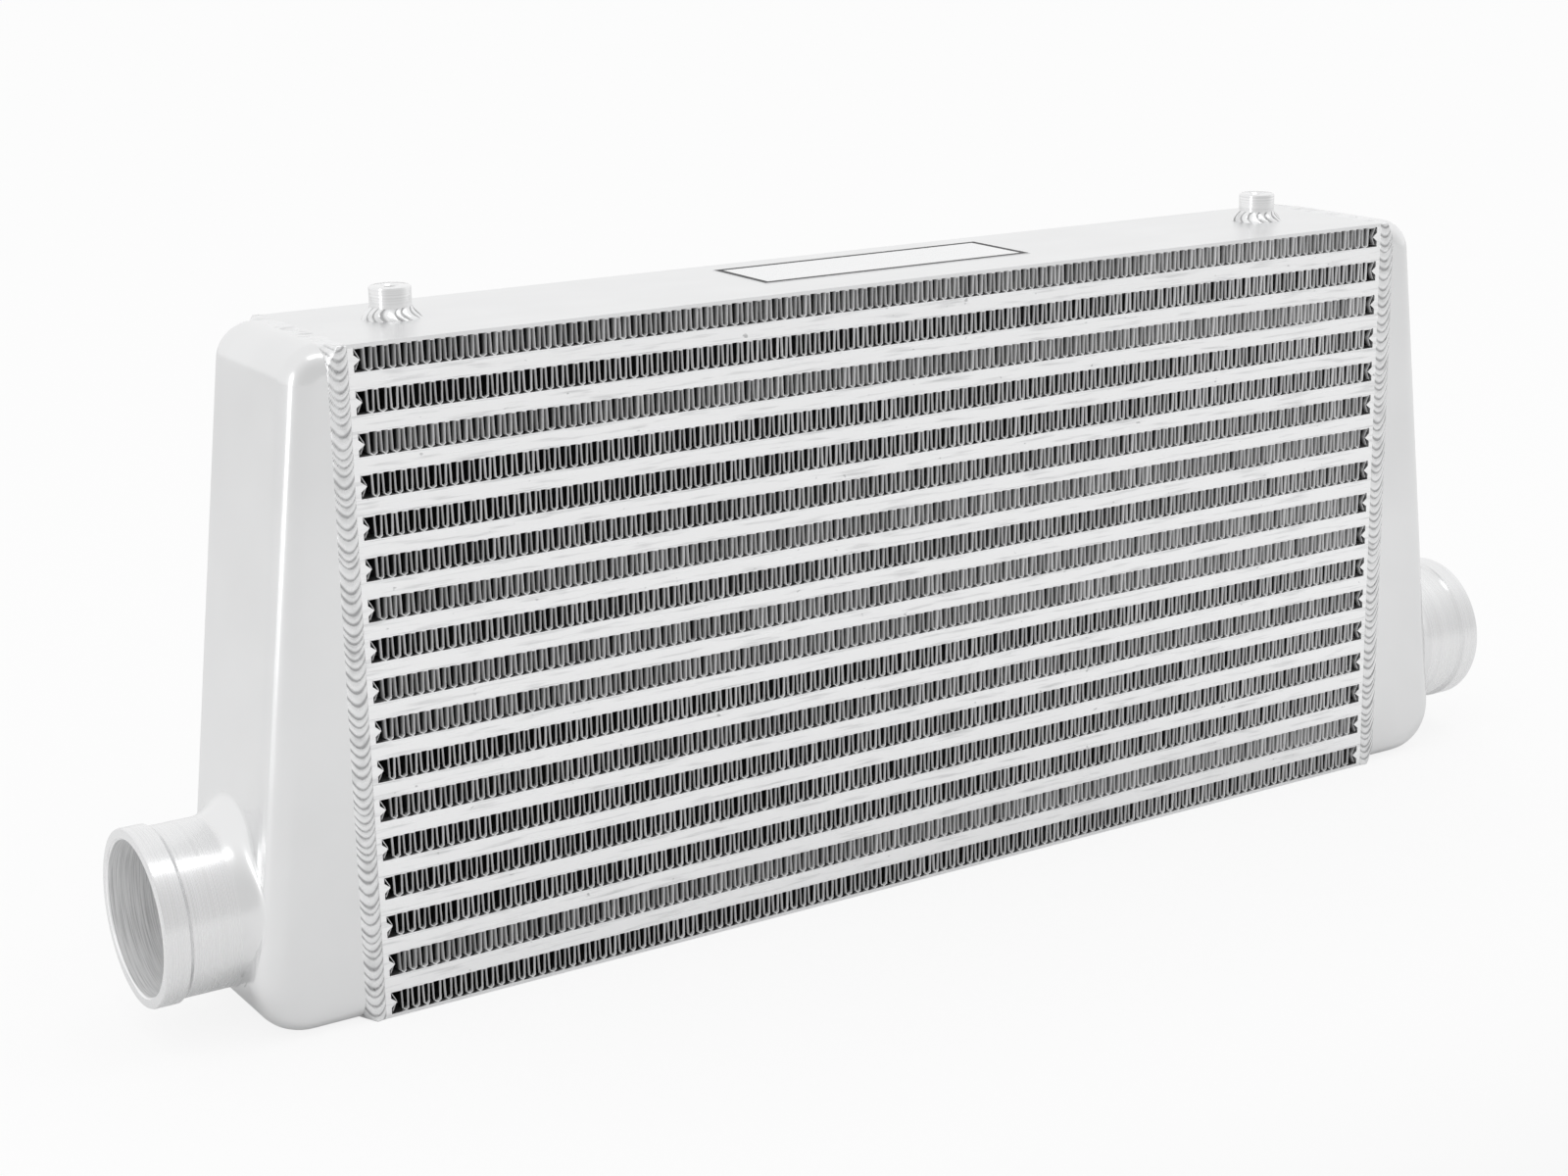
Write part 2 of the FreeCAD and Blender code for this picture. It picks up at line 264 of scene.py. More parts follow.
# The groove attribute holds painted shade in the grooves between pools, and a random stain where the weld
# is ground flush
groove_shade_and_stain = add_node(welded, "ShaderNodeAttribute", attribute_name="groove")
frost_less_shade_and_stain = reckon(welded, "SUBTRACT", frost, groove_shade_and_stain.outputs["Fac"])
tint(welded, shader, frost_less_shade_and_stain, (0.40, 0.402, 0.406), (0.84, 0.843, 0.847), 0.0, 0.48)
add_bump(welded, shader, scale_marks, 0.22, 0.0003)
print("materials in the scene:", len(bpy.data.materials))

# %% [markdown]
# The turned parts show fine tool rings: noise that is squeezed along the turning axis
# and stretched across it. The bore was cut faster than the outside and stays rougher.
# The label is silver foil with a matt black print.

# %% Turned parts and label
def turned_finish(name, stretch, roughness, dark, light, relief, metallic=1.0):
    finish, shader = new_finish(name, light, roughness, metallic)
    rings = noise_along(finish, stretch, 3.0, 3.0)
    vary_gloss(finish, shader, rings, roughness - 0.04, roughness + 0.06)
    tint(finish, shader, rings, dark, light, 0.32, 0.60)
    add_bump(finish, shader, rings, relief, 0.0002)
    return finish


turned_along = turned_finish(
    "turned_neck", (520, 2, 2), 0.25, (0.79, 0.792, 0.795), (0.84, 0.842, 0.845), 0.08)
turned_upright = turned_finish(
    "turned_boss", (2, 2, 420), 0.14, (0.74, 0.742, 0.745), (0.85, 0.852, 0.855), 0.16)
bored = turned_finish(
    "bored_neck", (900, 14, 14), 0.40, (0.66, 0.663, 0.667), (0.98, 0.981, 0.983), 0.5, 0.30)

black, shader = new_finish("black_print", (0.03, 0.03, 0.032), 0.45, 0.0)
wear = noise_along(black, (1, 1, 1), 300.0)
vary_gloss(black, shader, wear, 0.38, 0.52)
# A shinier print would mirror the white room at this flat angle and look grey
shader.inputs["Specular IOR Level"].default_value = 0.12

foil, shader = new_finish("silver_foil", (0.86, 0.862, 0.866), 0.26)
brushing = noise_along(foil, (5, 500, 60), 4.0)
vary_gloss(foil, shader, brushing, 0.20, 0.32)
add_bump(foil, shader, brushing, 0.08, 0.0001)
print("materials in the scene:", len(bpy.data.materials))

# %% [markdown]
# Pieces that keep their own shape get their finish now. The fins, welds, bosses and
# air boxes are replaced later by finer ones, and their solids are dressed all the same.

# %% Dress the part
def dress(thing, *finishes):
    # Clearing the slots also resets each face's finish, so bare meshes skip it
    if thing.data.materials:
        thing.data.materials.clear()
    for finish in finishes:
        thing.data.materials.append(finish)


for name, node in nodes.items():
    if name.startswith("tank"):
        dress(node, cast)
    elif "weld" in name:
        dress(node, welded)
    elif name == "mount_bosses":
        dress(node, turned_upright)
    elif name.startswith(("cooling_fin", "turbulator")):
        dress(node, folded)
    elif name.endswith("plate"):
        dress(node, plate)
    else:
        dress(node, brushed)

core_low, core_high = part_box("top_plate")
HALF_LENGTH = core_high.x
HALF_DEPTH = core_high.y
CORE_TOP = core_high.z
print("core from", [round(value, 4) for value in core_low], "to", [round(value, 4) for value in core_high])

# %% [markdown]
# Long folded or rippled surfaces all start as a flat grid, one operator, whose points
# are then carried to their places by a rule. Round parts are spun from half of their
# section. One more helper turns the finished shape into a piece of the part.

# %% Helpers for shapes
MERGE = 1e-6


def carried_grid(columns, rows, rule, shade_and_stain_rule=None):
    # A flat grid whose points go where rule(column, row) says
    shape = bmesh.new()
    # An optional layer keeps each point's painted groove shade, and on the long welds a stain, for the weld
    # metal
    groove = shape.verts.layers.float.new("groove") if shade_and_stain_rule else None
    bmesh.ops.create_grid(shape, x_segments=columns, y_segments=rows, size=0.5)
    for point in shape.verts:
        column = round((point.co.x + 0.5) * columns)
        row = round((point.co.y + 0.5) * rows)
        point.co = rule(column, row)
        if shade_and_stain_rule:
            point[groove] = shade_and_stain_rule(column, row)
    return shape


def close_ring(shape):
    # The grid's two ends meet, and its two open rims are bridged into a closed body
    bmesh.ops.remove_doubles(shape, verts=shape.verts, dist=MERGE)
    rims = [edge for edge in shape.edges if edge.is_boundary]
    bmesh.ops.bridge_loops(shape, edges=rims)


def spin_section(shape, section, centre, axis, turns):
    # Turns a line of points into a body of revolution
    points = [shape.verts.new(place) for place in section]
    edges = [shape.edges.new(pair) for pair in zip(points, points[1:])]
    bmesh.ops.spin(shape, geom=points + edges, cent=centre, axis=axis, angle=2 * math.pi,
                   steps=turns, use_merge=True)


def add_object(name, shape, *finishes):
    mesh = bpy.data.meshes.new(name)
    shape.to_mesh(mesh)
    shape.free()
    thing = bpy.data.objects.new(name, mesh)
    bpy.context.scene.collection.objects.link(thing)
    dress(thing, *finishes)
    return thing


def add_piece(name, shape, finishes, stands_for=None, smooth=None):
    bmesh.ops.recalc_face_normals(shape, faces=shape.faces)
    piece = add_object(name, shape, *finishes)
    if smooth is not None:
        for face in piece.data.polygons:
            face.use_smooth = True
        piece.data.set_sharp_from_angle(angle=math.radians(smooth))
    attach(piece, "root")
    if stands_for:
        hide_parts(stands_for)
    return piece


print("helpers for shapes are ready")

# %% [markdown]
# A cooling fin is one strip of thin metal folded up and down between two tubes, and
# from front to back its walls are wavy. Where the wave is cut off at the front differs
# from row to row, so in some rows the eye looks into dark gaps and in others on to pale
# walls. A row has over a hundred folds, so each fold has few faces: seven points round,
# and three cuts near either end, each shifted sideways. Solidify gives the thickness.

# %% Fold the cooling fins
FIN_ROWS = 17
WAVES = 110
METAL = 0.00040
NOSE = 0.0028
CUT_DEPTHS = (0, 0.0012, 0.0030)
DEEP_SHIFTS = (0, -0.00046, 0.00034)
MIDDLE_SHIFTS = (0, -0.00046, -0.00030)
PALE_SHIFTS = (0, -0.00046, -0.00092)
DEEP_ROWS = (1, 3, 4, 10, 12, 13, 14, 16)
PALE_ROWS = (0, 2, 6, 8, 9, 15)

# One fold as shares of its pitch and of its height: up, over, down, along the foot
FOLD = ((0.03, 0.10), (0.055, 0.55), (0.08, 1.0), (0.45, 1.0), (0.475, 0.55), (0.50, 0.10), (0.76, 0.0))
WALL_POINTS = 3
LAST_WALL = 0.50

# Folds stand a little out of step, and their waves differ in strength
OUT_OF_STEP = 0.07
WAVE_STRENGTH = (0.7, 1.3)
FIRST_FIN_SEED = 100


def row_shifts(index):
    if index in DEEP_ROWS:
        return DEEP_SHIFTS
    if index in PALE_ROWS:
        return PALE_SHIFTS
    return MIDDLE_SHIFTS


def fold_fin(index):
    name = "cooling_fin_%02d" % (index + 1)
    low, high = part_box(name)
    rng = random.Random(FIRST_FIN_SEED + index)
    step = (high.x - low.x) / (WAVES - 1 + LAST_WALL)
    columns = (WAVES - 1) * len(FOLD) + 2 * WALL_POINTS
    drift = [rng.uniform(-OUT_OF_STEP, OUT_OF_STEP) * step for _ in range(WAVES + 1)]
    strength = [rng.uniform(*WAVE_STRENGTH) for _ in range(WAVES + 1)]
    foot = low.z + METAL / 2
    rise = high.z - low.z - METAL
    depths = [low.y + depth for depth in CUT_DEPTHS] + [high.y - depth for depth in reversed(CUT_DEPTHS)]
    shifts = list(row_shifts(index)) + [-shift for shift in reversed(row_shifts(index))]

    def along_fold(column, row):
        wave, place = divmod(column, len(FOLD))
        across, up = FOLD[place]
        x = low.x + (wave + across) * step + drift[wave] + shifts[row] * strength[wave]
        # The first and the last wall are pressed round the noses of the end bars
        beside_nose = NOSE * abs(2 * up - 1)
        if column < WALL_POINTS:
            x = low.x - beside_nose
        elif column >= columns - WALL_POINTS:
            x = high.x + beside_nose
        return (x, depths[row], foot + up * rise)

    shape = carried_grid(columns - 1, len(depths) - 1, along_fold)
    bmesh.ops.solidify(shape, geom=shape.faces[:], thickness=METAL)
    piece = add_piece("fin_strip_%02d" % (index + 1), shape, [folded], name)
    return len(piece.data.polygons)


fin_faces = [fold_fin(index) for index in range(FIN_ROWS)]
print("faces in the fins:", sum(fin_faces))

# %% [markdown]
# The air boxes are welded on by hand. The bead is a row of overlapping pools, each one
# a crescent that opens upwards, and over the top and the underside it is ground flush.
# A bead could be a chain of squashed balls, but they never merge as molten metal does.
# So one grid is wrapped right round the joint and raised by a rule. A hand never lays
# two pools alike, so their lengths are drawn at random, always from the same seed.

# %% Rule for the weld's pools
BEAD_PITCH = 0.00440
POOL_LENGTHS = (0.68, 1.32)
RUN_OVER = 0.012
GROOVE_UNTIL = 0.34
GROOVE_FROM = 0.88


def pool_edges(length, rng):
    # Places along the seam where one pool ends and the next begins
    edges = [-RUN_OVER]
    while edges[-1] < length + RUN_OVER:
        edges.append(edges[-1] + BEAD_PITCH * rng.uniform(*POOL_LENGTHS))
    return edges


def pool_at(edges, place):
    # The number of the pool at a place, and how far through it the place is, 0 to 1
    low, high = 0, len(edges) - 1
    while high - low > 1:
        middle = (low + high) // 2
        if edges[middle] <= place:
            low = middle
        else:
            high = middle
    return low, min(1, max(0, (place - edges[low]) / (edges[low + 1] - edges[low])))


def groove_shade(share):
    # Painted shade of the groove between pools: deepest where a pool begins, less deep where it ends, 0 on
    # its crest
    behind = max(0, 1 - share / GROOVE_UNTIL) ** 1.3
    ahead = max(0, (share - GROOVE_FROM) / (1 - GROOVE_FROM))
    return 0.8 * behind + 0.5 * ahead


print("pools in one run of the bead:", len(pool_edges(CORE_TOP, random.Random(0))))

# %% [markdown]
# The grid's columns run round the joint in eight parts: front, corner, top, corner,
# rear, corner, underside, corner. Each part knows its outward direction, from which
# both the position and the raising follow. On the core's side the weld follows square
# corners, and on the casting's side it follows round ones.

# %% Way round the joint
SIDE_COLUMNS = 620
CORNER_COLUMNS = 22
TOP_COLUMNS = 80
CORE_CORNER = 0.0010
CAST_CORNER = 0.0125


def round_places():
    # One entry per column: share along the straight side or turn round the corner
    places = []
    quarter = math.pi / 2
    for part, columns in enumerate((SIDE_COLUMNS, TOP_COLUMNS, SIDE_COLUMNS, TOP_COLUMNS)):
        places += [(part, i / columns, 0.0) for i in range(columns)]
        places += [(part, 1.0, quarter * i / CORNER_COLUMNS) for i in range(CORNER_COLUMNS)]
    places.append(places[0])
    return places


def rim_point(part, share, swing, corner):
    # Point (y, z) and outward direction on a rectangle with round corners
    half_height = CORE_TOP / 2
    straight_y = HALF_DEPTH - corner
    straight_z = half_height - corner
    centres = ((-1, 1), (1, 1), (1, -1), (-1, -1))
    outward = ((-1, 0), (0, 1), (1, 0), (0, -1))[part]
    ahead = ((0, 1), (1, 0), (0, -1), (-1, 0))[part]
    direction = Vector(outward) * math.cos(swing) + Vector(ahead) * math.sin(swing)
    if swing:
        centre = Vector((centres[part][0] * straight_y, centres[part][1] * straight_z))
        return centre + direction * corner + Vector((0, half_height)), direction
    reach = (straight_y, straight_z)
    point = Vector((outward[0] * HALF_DEPTH, outward[1] * half_height))
    point += Vector((ahead[0] * reach[0], ahead[1] * reach[1])) * (2 * share - 1)
    return point + Vector((0, half_height)), direction


print("columns round the joint:", len(round_places()))

# %% [markdown]
# Across the weld the height follows a lens, and along it each pool rises to a crest
# and falls off. The torch leans differently at either end of the core, so the
# crescents lean as well. Two more rows bend back under the surface, and bridging them
# closes the weld into one solid.

# %% Lay the weld beads
ROWS_ACROSS = 20
WELD_HALF = 0.0047
UNDER = 0.0022
SINK = 0.00004
BEAD_RISE = 0.00070
RIPPLE = 0.00074
HIGHEST = 0.00146
POOL_LIFTS = (0.86, 1.14)
SIDEWAYS = 0.00028
POOL_BEND = 0.0044
POOL_START = 0.004
LENS_POWER = 0.7
CREST_SPEED = 1.45
CREST_FALL = 0.8
PROUD_FADE = 1.5
GROUND_HEIGHT = 0.00010
GROUND_COARSE = 0.00009
GROUND_FINE = 0.00005
GROUND_STAIN = 0.12
GROUND_DRAWS = 400
GROUND_FINE_DRAWS = 397
BEAD_SHARP_FROM = 50


def weld_round(node_name, sign, seed, lean):
    rng = random.Random(seed)
    edges = pool_edges(CORE_TOP, rng)
    offsets = [rng.uniform(-SIDEWAYS, SIDEWAYS) for _ in edges]
    lifts = [rng.uniform(*POOL_LIFTS) for _ in edges]
    ground = [rng.uniform(-1, 1) for _ in range(GROUND_DRAWS)]
    places = round_places()

    def pool_under(across, point):
        # Pools bend down in the middle of the bead, so their edges open upwards
        bend = POOL_BEND * across * across + lean * across
        return pool_at(edges, point.y - bend + POOL_START)

    def rise_at(across, point, direction, column):
        # Height of the weld over the joint, and its sideways wander
        proud = abs(direction.x) ** PROUD_FADE
        pool, share = pool_under(across, point)
        lens = (1 - across * across) ** LENS_POWER if abs(across) < 1 else 0.0
        crest = math.sin(math.pi * min(1, share * CREST_SPEED) / 2) * (1 - CREST_FALL * share ** 3)
        bead = lens * (BEAD_RISE * lifts[pool] ** 2 + RIPPLE * crest)
        coarse = ground[(column // 3) % GROUND_DRAWS]
        fine = ground[column % GROUND_FINE_DRAWS]
        flush = lens * (GROUND_HEIGHT + GROUND_COARSE * coarse + GROUND_FINE * fine)
        rise = min(HIGHEST, proud * bead) + (1 - proud) * flush
        return rise, offsets[pool] * proud * (1 - across * across)

    def joint_point(column, across):
        # Square corners on the core's side run over into the casting's round ones
        part, share, swing = places[column]
        point, direction = rim_point(part, share, swing, CORE_CORNER)
        if across > 0:
            point = point.lerp(rim_point(part, share, swing, CAST_CORNER)[0], across)
        return point, direction

    def wrap(column, row):
        if row > ROWS_ACROSS:
            # Back under the surface
            across = 1 if row == ROWS_ACROSS + 1 else -1
            point, direction = joint_point(column, across)
            point -= direction * UNDER
            return (sign * (HALF_LENGTH + across * WELD_HALF), point.x, max(0, point.y))
        across = 2 * row / ROWS_ACROSS - 1
        point, direction = joint_point(column, across)
        rise, aside = rise_at(across, point, direction, column)
        point += direction * (rise - SINK)
        return (sign * (HALF_LENGTH + across * WELD_HALF + aside), point.x, max(0, point.y))

    def groove_at(column, row):
        # Painted shade in the grooves between pools, with a random stain on the parts ground flush
        across = min(1, 2 * row / ROWS_ACROSS - 1)
        point, direction = joint_point(column, across)
        bead = groove_shade(pool_under(across, point)[1]) * abs(direction.x) ** PROUD_FADE
        stain = max(0, ground[(column // 2) % GROUND_DRAWS])
        return bead + GROUND_STAIN * stain * direction.y ** 2

    shape = carried_grid(len(places) - 1, ROWS_ACROSS + 2, wrap, groove_at)
    close_ring(shape)
    return add_piece("bead_" + node_name, shape, [welded], node_name, BEAD_SHARP_FROM)


for node_name, sign, seed, lean in (("weld_left", -1, 11, 0.0001), ("weld_right", 1, 7, 0.0034)):
    bead = weld_round(node_name, sign, seed, lean)
    print(bead.name, "faces:", len(bead.data.polygons))

# %% [markdown]
# An air box is a casting with large soft roundings. It could be lofted, but an outline
# with two rounded corners, extruded and bevelled, gives exact arcs that meet the flat
# sides smoothly. The same steps with an inset give the hollow inside it.

# %% Body of the air box
REACH_TOP = 0.0202
REACH_BOTTOM = 0.0553
FLOOR_FLAT = 0.0262
TOP_RADIUS = 0.0167
WALL = 0.0040
LEAN = (REACH_BOTTOM - REACH_TOP) / CORE_TOP
SLANT = math.hypot(1, LEAN)
BOTTOM_RADIUS = (REACH_BOTTOM - FLOOR_FLAT) / (LEAN + SLANT)
CORNER_STEPS = 16
RIM_STEPS = 8


def casting_block(inset, start):
    # The casting's outside, or with an inset its inside, open towards the core
    shift = inset * SLANT
    x_top = HALF_LENGTH + REACH_TOP + LEAN * inset - shift
    x_bottom = HALF_LENGTH + REACH_BOTTOM - LEAN * inset - shift
    front = inset - HALF_DEPTH
    shape = bmesh.new()
    corners = ((start, inset), (x_bottom, inset), (x_top, CORE_TOP - inset), (start, CORE_TOP - inset))
    points = [shape.verts.new((x, front, z)) for x, z in corners]
    shape.faces.new(points)
    grip = (LEAN + SLANT, SLANT - LEAN)
    for point, radius, pull in ((points[1], BOTTOM_RADIUS, grip[0]), (points[2], TOP_RADIUS, grip[1])):
        bmesh.ops.bevel(shape, geom=[point], offset=(radius - inset) * pull, segments=CORNER_STEPS,
                        profile=0.5, affect="VERTICES", offset_type="OFFSET", material=-1)
    grown = bmesh.ops.extrude_face_region(shape, geom=shape.faces[:])["geom"]
    moved = [part for part in grown if isinstance(part, bmesh.types.BMVert)]
    bmesh.ops.translate(shape, verts=moved, vec=(0, 2 * (HALF_DEPTH - inset), 0))
    bmesh.ops.recalc_face_normals(shape, faces=shape.faces)
    rims = []
    for edge in shape.edges:
        a, b = (end.co for end in edge.verts)
        level_y = abs(a.y - b.y) < MERGE
        at_joint = abs(a.x - start) < MERGE and abs(b.x - start) < MERGE
        if level_y and not at_joint:
            rims.append(edge)
    bmesh.ops.bevel(shape, geom=rims, offset=CAST_CORNER - inset, segments=RIM_STEPS,
                    profile=0.5, affect="EDGES", offset_type="OFFSET", material=-1)
    return shape


print("the casting's floor sweeps up with a radius of %.1f mm" % (1000 * BOTTOM_RADIUS))

# %% [markdown]
# The hose neck grows out of the casting in a hollow flare that is full above the neck
# and thin at its sides and below. A spin alone gives the same flare all round, so its
# points are then drawn in at the sides and laid on to the sloping end wall.

# %% Neck of the air box
NECK_HEIGHT = 0.0542
NECK_RADIUS = 0.038
BORE_RADIUS = 0.0345
BORE_PAST_WALL = 0.030
BEAD_RADIUS = 0.0395
BEAD_LENGTH = 0.0105
BEAD_FOOT = 0.0004
LIP_ROUND = 0.0009
FLARE = 0.012
FLARE_STEPS = 10
FLARE_SIDE_SHARE = 0.25
TURNS = 112
neck_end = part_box("tank_right")[1].x


def wall_at(z):
    # How far out the end of the casting stands at a height
    if z > BOTTOM_RADIUS * (1 - LEAN / SLANT):
        return HALF_LENGTH + REACH_BOTTOM - LEAN * z
    drop = BOTTOM_RADIUS - max(0, z)
    return HALF_LENGTH + FLOOR_FLAT + math.sqrt(BOTTOM_RADIUS ** 2 - drop ** 2)


def rim_drop(y):
    # How far the rounded rim falls back behind the flat of the end wall
    over = min(CAST_CORNER, max(0, abs(y) - (HALF_DEPTH - CAST_CORNER)))
    return CAST_CORNER - math.sqrt(CAST_CORNER ** 2 - over ** 2)


def spun(section):
    # Body of revolution about the neck's axis from a list of (x, radius)
    shape = bmesh.new()
    places = [(x, 0, NECK_HEIGHT + radius) for x, radius in section]
    spin_section(shape, places, (0, 0, NECK_HEIGHT), (1, 0, 0), TURNS)
    bmesh.ops.remove_doubles(shape, verts=shape.verts, dist=MERGE)
    bmesh.ops.recalc_face_normals(shape, faces=shape.faces)
    return shape


def neck_solid():
    root = wall_at(NECK_HEIGHT + NECK_RADIUS)
    section = [(root - WALL / 2, 0), (root - WALL / 2, NECK_RADIUS + FLARE)]
    for i in range(FLARE_STEPS + 1):
        angle = math.pi / 2 * i / FLARE_STEPS
        section.append((root + FLARE * (1 - math.cos(angle)), NECK_RADIUS + FLARE * (1 - math.sin(angle))))
    step = neck_end - BEAD_LENGTH
    rise = BEAD_RADIUS - NECK_RADIUS
    shoulder = LIP_ROUND * 0.3
    section += [(step - rise - BEAD_FOOT, NECK_RADIUS), (step - rise * 0.5, NECK_RADIUS + rise * 0.5)]
    section += [(step, BEAD_RADIUS), (neck_end - LIP_ROUND, BEAD_RADIUS)]
    section += [(neck_end - shoulder, BEAD_RADIUS - shoulder), (neck_end, BEAD_RADIUS - LIP_ROUND)]
    shape = spun(section + [(neck_end, 0)])
    for point in shape.verts:
        y = point.co.y
        z = point.co.z - NECK_HEIGHT
        radius = math.hypot(y, z)
        spare = radius - NECK_RADIUS
        if spare > 1e-5 and point.co.x < root + FLARE:
            share = FLARE_SIDE_SHARE + (1 - FLARE_SIDE_SHARE) * max(0, z / radius) ** 2
            slim = (NECK_RADIUS + spare * share) / radius
            point.co.y = y * slim
            point.co.z = NECK_HEIGHT + z * slim
            point.co.x += (wall_at(point.co.z) - root - rim_drop(point.co.y)) * spare / FLARE
    return shape


def bore_tool():
    # A little longer than the bore, with a step that breaks the edge of the mouth
    inside = wall_at(NECK_HEIGHT) - BORE_PAST_WALL
    outside = neck_end + 0.002
    section = [(inside, 0), (inside, BORE_RADIUS), (neck_end - LIP_ROUND, BORE_RADIUS)]
    section += [(neck_end + 0.0001, BORE_RADIUS + LIP_ROUND), (outside, BORE_RADIUS + LIP_ROUND)]
    return spun(section + [(outside, 0)])


print("the neck ends at x = %.1f mm" % (1000 * neck_end))

# %% [markdown]
# Boolean operations join box and neck, hollow them out and bore the neck, in the same
# order as the foundry and the lathe. Joining first and hollowing later keeps the inside
# clean. The finish of each face follows from its place: cast, turned or bored.

# %% Join, hollow and bore
JOINT_GAP = 0.0002
OPEN_PAST = 0.001
BORED_WITHIN = 0.0004
BORED_FROM = 0.03
TURNED_FROM = 0.8
CAST_SHARP_FROM = 32
EVEN_WEIGHT = 80
CAST_FACE, TURNED_FACE, BORED_FACE = range(3)


def evaluated_mesh(thing):
    graph = bpy.context.evaluated_depsgraph_get()
    return bpy.data.meshes.new_from_object(thing.evaluated_get(graph))


def combine(thing, tool_shape, operation):
    tool = add_object("tool", tool_shape)
    modifier = thing.modifiers.new("combine", "BOOLEAN")
    modifier.operation = operation
    modifier.solver = "EXACT"
    modifier.object = tool
    mesh = evaluated_mesh(thing)
    thing.modifiers.clear()
    thing.data = mesh
    bpy.data.objects.remove(tool)


def machined(face):
    x, y, z = face.center
    from_axis = math.hypot(y, z - NECK_HEIGHT)
    if from_axis < BORE_RADIUS + BORED_WITHIN and abs(x) > HALF_LENGTH + BORED_FROM:
        inward = face.normal.y * y + face.normal.z * (z - NECK_HEIGHT) < 0
        return BORED_FACE if inward else CAST_FACE
    if abs(x) > wall_at(NECK_HEIGHT + NECK_RADIUS) + FLARE * TURNED_FROM:
        return TURNED_FACE
    return CAST_FACE


def air_box(side, sign):
    body = add_object("body", casting_block(0, HALF_LENGTH + JOINT_GAP))
    combine(body, neck_solid(), "UNION")
    combine(body, casting_block(WALL, HALF_LENGTH - OPEN_PAST), "DIFFERENCE")
    combine(body, bore_tool(), "DIFFERENCE")
    shape = bmesh.new()
    shape.from_mesh(body.data)
    bpy.data.objects.remove(body)
    bmesh.ops.remove_doubles(shape, verts=shape.verts, dist=2 * MERGE)
    bmesh.ops.dissolve_degenerate(shape, edges=shape.edges, dist=MERGE)
    if sign < 0:
        bmesh.ops.scale(shape, vec=(-1, 1, 1), verts=shape.verts)
    finishes = [cast, turned_along, bored]
    piece = add_piece("air_box_" + side, shape, finishes, "tank_" + side, CAST_SHARP_FROM)
    for face in piece.data.polygons:
        face.material_index = machined(face)
    even = piece.modifiers.new("even_shading", "WEIGHTED_NORMAL")
    even.keep_sharp = True
    even.weight = EVEN_WEIGHT
    mesh = evaluated_mesh(piece)
    piece.modifiers.clear()
    piece.data = mesh
    return piece


for side, sign in (("left", -1), ("right", 1)):
    box = air_box(side, sign)
    print(box.name, "faces:", len(box.data.polygons))

# %% [markdown]
# Each mounting boss is a turned stub with a tapped hole. The thread is so fine that
# plain rings read the same as a helix, so the whole boss is one spin of its section.

# %% Turn the bosses
THREAD_PITCH = 0.00125
THREAD_DEPTH = 0.00045
TAPPED_RADIUS = 0.0034
MOUTH_CHAMFER = 0.0009
BOSS_EDGE = 0.0008
BOSS_TURNS = 72
BOSS_SHARP_FROM = 28


def boss_section(foot, radius, top):
    # From the foot's middle out, up the side, over the rim and down the tapped hole
    shoulder = BOSS_EDGE * 0.3
    hole_floor = foot + 0.002
    section = [(0, foot), (radius, foot), (radius, top - BOSS_EDGE), (radius - shoulder, top - shoulder)]
    section += [(radius - BOSS_EDGE, top), (TAPPED_RADIUS + MOUTH_CHAMFER, top)]
    z = top - MOUTH_CHAMFER
    while z > hole_floor + THREAD_PITCH:
        section += [(TAPPED_RADIUS, z), (TAPPED_RADIUS + THREAD_DEPTH, z - THREAD_PITCH / 2)]
        z -= THREAD_PITCH
    return section + [(TAPPED_RADIUS, z), (TAPPED_RADIUS, hole_floor), (0, hole_floor - 0.001)]


boss_low, boss_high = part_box("mount_bosses")
boss_radius = (boss_high.y - boss_low.y) / 2
boss_centres = []
for sign in (-1, 1):
    centre_x = sign * (boss_high.x - boss_radius)
    boss_centres.append(Vector((centre_x, (boss_low.y + boss_high.y) / 2, boss_low.z)))

shape = bmesh.new()
for centre in boss_centres:
    section = boss_section(boss_low.z, boss_radius, boss_high.z)
    places = [(centre.x + radius, centre.y, z) for radius, z in section]
    spin_section(shape, places, (centre.x, centre.y, 0), (0, 0, 1), BOSS_TURNS)
bmesh.ops.remove_doubles(shape, verts=shape.verts, dist=MERGE)
bosses = add_piece("bosses", shape, [turned_upright], "mount_bosses", BOSS_SHARP_FROM)
print("bosses, faces:", len(bosses.data.polygons))

# %% [markdown]
# Round the foot of each boss runs a fillet of weld with steep ripples. It is the same
# idea as the long bead: a grid wrapped round, raised by a rule, closed underneath.

# %% Weld the bosses on
POOLS_ROUND = 15
POOL_SHIFT = 0.25
POOL_SWELL = (0.80, 1.0)
POOL_TWIST = 0.55
FILLET_ROWS = 12
FILLET_COLUMNS = 240
FILLET_HOLLOW = 1.55
FILLET_RIPPLE = 0.0005
FILLET_SHARP_FROM = 45
RIPPLE_OUT = 0.22
SWELL_UP = 0.14
FOOT_SHARE = 0.12
IN_BOSS = 0.0006
BELOW_PLATE = 0.0003
OVERLAP = 0.0002
FOOT_SINK = 0.0001
FIRST_FILLET_SEED = 40
weld_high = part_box("boss_welds")[1]
fillet_reach = weld_high.y - boss_high.y
fillet_height = weld_high.z - boss_low.z


